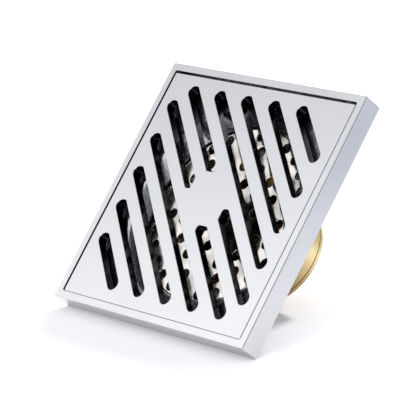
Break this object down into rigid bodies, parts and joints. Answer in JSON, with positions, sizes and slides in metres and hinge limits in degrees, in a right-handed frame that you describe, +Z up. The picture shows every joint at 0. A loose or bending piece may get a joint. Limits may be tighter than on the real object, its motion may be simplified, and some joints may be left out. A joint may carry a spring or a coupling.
{
  "type": "floor drain grate",
  "caption": "Square chrome floor drain: flush slotted cover in a frame, perforated hair strainer, lift-out spring-valve core and round brass outlet pipe",
  "frame": {"origin": "centre of the outlet pipe's open end, at the lowest point of the drain", "axes": "+Z up through the cover as the drain is installed, +X and +Y square to the frame's sides; the slots run along (1, -1)"},
  "size_m": [0.1, 0.1, 0.0443],
  "materials": {
    "chrome": "polished chrome plate on cast brass",
    "brass": "turned brass, satin",
    "polished_stainless": "pressed and polished stainless sheet",
    "plain_stainless": "turned stainless, satin",
    "spring_steel": "drawn spring wire, bright",
    "rubber": "moulded black rubber, matt",
    "silicone": "moulded translucent white silicone",
    "white_plastic": "moulded acetal, white"
  },
  "bodies": {
    "drain": {"frame_body": "chrome", "tail_pipe": "brass"},
    "core": {"core_housing": "brass", "core_gasket": "rubber", "core_orings": "rubber", "core_guide": "brass", "guide_bush": "white_plastic", "guide_circlip": "spring_steel", "return_spring": "spring_steel"},
    "valve": {"valve_stem": "plain_stainless", "clamp_plate": "plain_stainless", "valve_gasket": "silicone", "valve_disc": "brass", "lock_washer": "plain_stainless", "stem_nut": "plain_stainless", "spring_cap": "white_plastic", "cap_clip": "spring_steel"},
    "strainer": {"strainer_disc": "polished_stainless"},
    "cover": {"cover_grate": "chrome", "cover_pads": "rubber"}
  },
  "joints": [
    {"name": "core_lift", "type": "slide", "parent": "drain", "child": "core", "axis": [0, 0, 1], "range_m": [0, 0.06]},
    {"name": "valve_open", "type": "slide", "parent": "core", "child": "valve", "axis": [0, 0, -1], "range_m": [0, 0.005], "stiffness_N_per_m": 40, "springref_m": -0.01, "deforming": ["return_spring"]},
    {"name": "strainer_lift", "type": "slide", "parent": "core", "child": "strainer", "axis": [0, 0, 1], "range_m": [0, 0.05]},
    {"name": "cover_lift", "type": "slide", "parent": "strainer", "child": "cover", "axis": [0, 0, 1], "range_m": [0, 0.04]}
  ]
}
